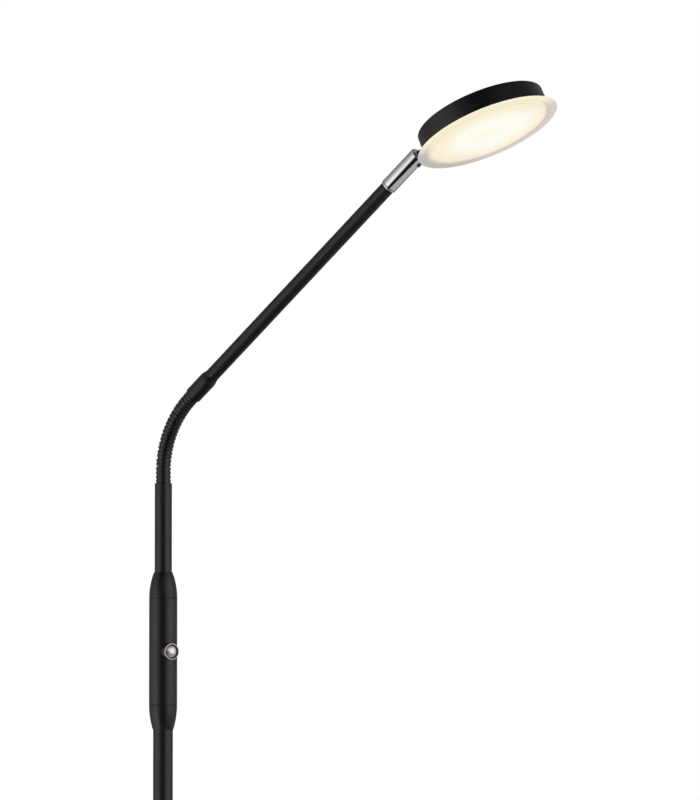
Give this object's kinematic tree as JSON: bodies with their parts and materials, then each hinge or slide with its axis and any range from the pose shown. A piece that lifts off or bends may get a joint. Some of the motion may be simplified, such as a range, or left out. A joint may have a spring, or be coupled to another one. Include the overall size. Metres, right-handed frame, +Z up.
{
  "type": "task floor lamp",
  "caption": "Slim floor lamp with a weighted round base, a push-button grip on the pole, a bendable neck, a straight arm and a tilting, swivelling round light head.",
  "frame": {"origin": "centre of the base's underside, on the floor", "axes": "+Z up the pole; the neck and arm lean towards +X in the plane Y = 0; +Y is the arm's left side seen from the pole"},
  "size_m": [0.565, 0.24, 1.3998],
  "materials": {
    "black_paint": "matte black powder coat",
    "chrome": "polished chrome plate",
    "cast_iron": "grey cast iron, as cast",
    "steel": "zinc-plated steel",
    "satin_button": "satin silver",
    "rubber": "black rubber",
    "brass": "bright brass",
    "dark_plastic": "moulded dark plastic",
    "board_green": "laminated circuit board",
    "board_white": "white-masked aluminium board",
    "chip_yellow": "phosphor-coated chips",
    "reflector_white": "matte white moulding",
    "opal": "opal satin acrylic, lit from behind"
  },
  "bodies": {
    "pole": {"floor_pad": "rubber", "bottom_plate": "steel", "base_weight": "cast_iron", "base_cover": "black_paint", "cord_grommet": "rubber", "pole_stud": "steel", "pole_washer": "steel", "pole_nut": "steel", "pole_insert": "steel", "lower_pole": "black_paint", "grip_lower_cap": "black_paint", "grip_sleeve": "black_paint", "grip_upper_cap": "black_paint", "button_ring": "chrome", "switch_body": "dark_plastic", "driver_board": "board_green", "upper_tube": "black_paint", "tube_set_screw": "steel", "neck_foot": "black_paint"},
    "button": {"push_button": "satin_button"},
    "neck_middle": {"neck_link_5": "black_paint"},
    "neck_link_1_body": {"neck_link_1": "black_paint"},
    "neck_link_2_body": {"neck_link_2": "black_paint"},
    "neck_link_3_body": {"neck_link_3": "black_paint"},
    "neck_link_4_body": {"neck_link_4": "black_paint"},
    "neck_link_6_body": {"neck_link_6": "black_paint"},
    "neck_link_7_body": {"neck_link_7": "black_paint"},
    "neck_link_8_body": {"neck_link_8": "black_paint"},
    "neck_link_9_body": {"neck_link_9": "black_paint"},
    "arm": {"neck_top": "black_paint", "arm_collar": "black_paint", "arm_tube": "black_paint", "arm_spindle": "brass", "knuckle_ring": "chrome"},
    "knuckle": {"knuckle": "chrome", "hinge_pin": "steel", "friction_washers": "dark_plastic"},
    "head": {"head_tongue": "black_paint", "drum_housing": "black_paint", "led_board": "board_white", "led_chips": "chip_yellow", "reflector": "reflector_white", "diffuser": "opal"}
  },
  "joints": [
    {"name": "neck_lower_bend", "type": "hinge", "parent": "pole", "child": "neck_middle", "pos_m": [0, 0, 1.05959], "axis": [0, 1, 0], "range_deg": [-24.85, 15]},
    {"name": "neck_upper_bend", "type": "hinge", "parent": "neck_middle", "child": "arm", "pos_m": [0.01743, 0, 1.09723], "axis": [0, 1, 0], "range_deg": [-24.85, 15]},
    {"name": "neck_link_1_bend", "type": "hinge", "parent": "pole", "child": "neck_link_1_body", "pos_m": [0, 0, 1.04293], "axis": [0, 1, 0], "range_deg": [-4.97, 3]},
    {"name": "neck_link_2_bend", "type": "hinge", "parent": "pole", "child": "neck_link_2_body", "pos_m": [0, 0, 1.04704], "axis": [0, 1, 0], "range_deg": [-9.94, 6]},
    {"name": "neck_link_3_bend", "type": "hinge", "parent": "pole", "child": "neck_link_3_body", "pos_m": [0, 0, 1.05117], "axis": [0, 1, 0], "range_deg": [-14.91, 9]},
    {"name": "neck_link_4_bend", "type": "hinge", "parent": "pole", "child": "neck_link_4_body", "pos_m": [0, 0, 1.05535], "axis": [0, 1, 0], "range_deg": [-19.88, 12]},
    {"name": "neck_link_6_bend", "type": "hinge", "parent": "neck_middle", "child": "neck_link_6_body", "pos_m": [0.01043, 0, 1.08212], "axis": [0, 1, 0], "range_deg": [-4.97, 3]},
    {"name": "neck_link_7_bend", "type": "hinge", "parent": "neck_middle", "child": "neck_link_7_body", "pos_m": [0.01216, 0, 1.08584], "axis": [0, 1, 0], "range_deg": [-9.94, 6]},
    {"name": "neck_link_8_bend", "type": "hinge", "parent": "neck_middle", "child": "neck_link_8_body", "pos_m": [0.01389, 0, 1.08959], "axis": [0, 1, 0], "range_deg": [-14.91, 9]},
    {"name": "neck_link_9_bend", "type": "hinge", "parent": "neck_middle", "child": "neck_link_9_body", "pos_m": [0.01565, 0, 1.09338], "axis": [0, 1, 0], "range_deg": [-19.88, 12]},
    {"name": "head_swivel", "type": "hinge", "parent": "arm", "child": "knuckle", "pos_m": [0.26864, 0, 1.31027], "axis": [0.7627, 0, 0.6468], "range_deg": [-170, 170]},
    {"name": "head_tilt", "type": "hinge", "parent": "knuckle", "child": "head", "pos_m": [0.29705, 0, 1.33436], "axis": [0, 1, 0], "range_deg": [-90, 75]},
    {"name": "button_press", "type": "slide", "parent": "pole", "child": "button", "axis": [-0.9135, 0.4067, 0], "range_m": [0, 0.0012], "stiffness_N_per_m": 900, "springref_m": -0.001}
  ],
  "couplings": [
    {"joint": "neck_link_1_bend", "follows": "neck_lower_bend", "ratio": 0.2},
    {"joint": "neck_link_2_bend", "follows": "neck_lower_bend", "ratio": 0.4},
    {"joint": "neck_link_3_bend", "follows": "neck_lower_bend", "ratio": 0.6},
    {"joint": "neck_link_4_bend", "follows": "neck_lower_bend", "ratio": 0.8},
    {"joint": "neck_link_6_bend", "follows": "neck_upper_bend", "ratio": 0.2},
    {"joint": "neck_link_7_bend", "follows": "neck_upper_bend", "ratio": 0.4},
    {"joint": "neck_link_8_bend", "follows": "neck_upper_bend", "ratio": 0.6},
    {"joint": "neck_link_9_bend", "follows": "neck_upper_bend", "ratio": 0.8}
  ]
}
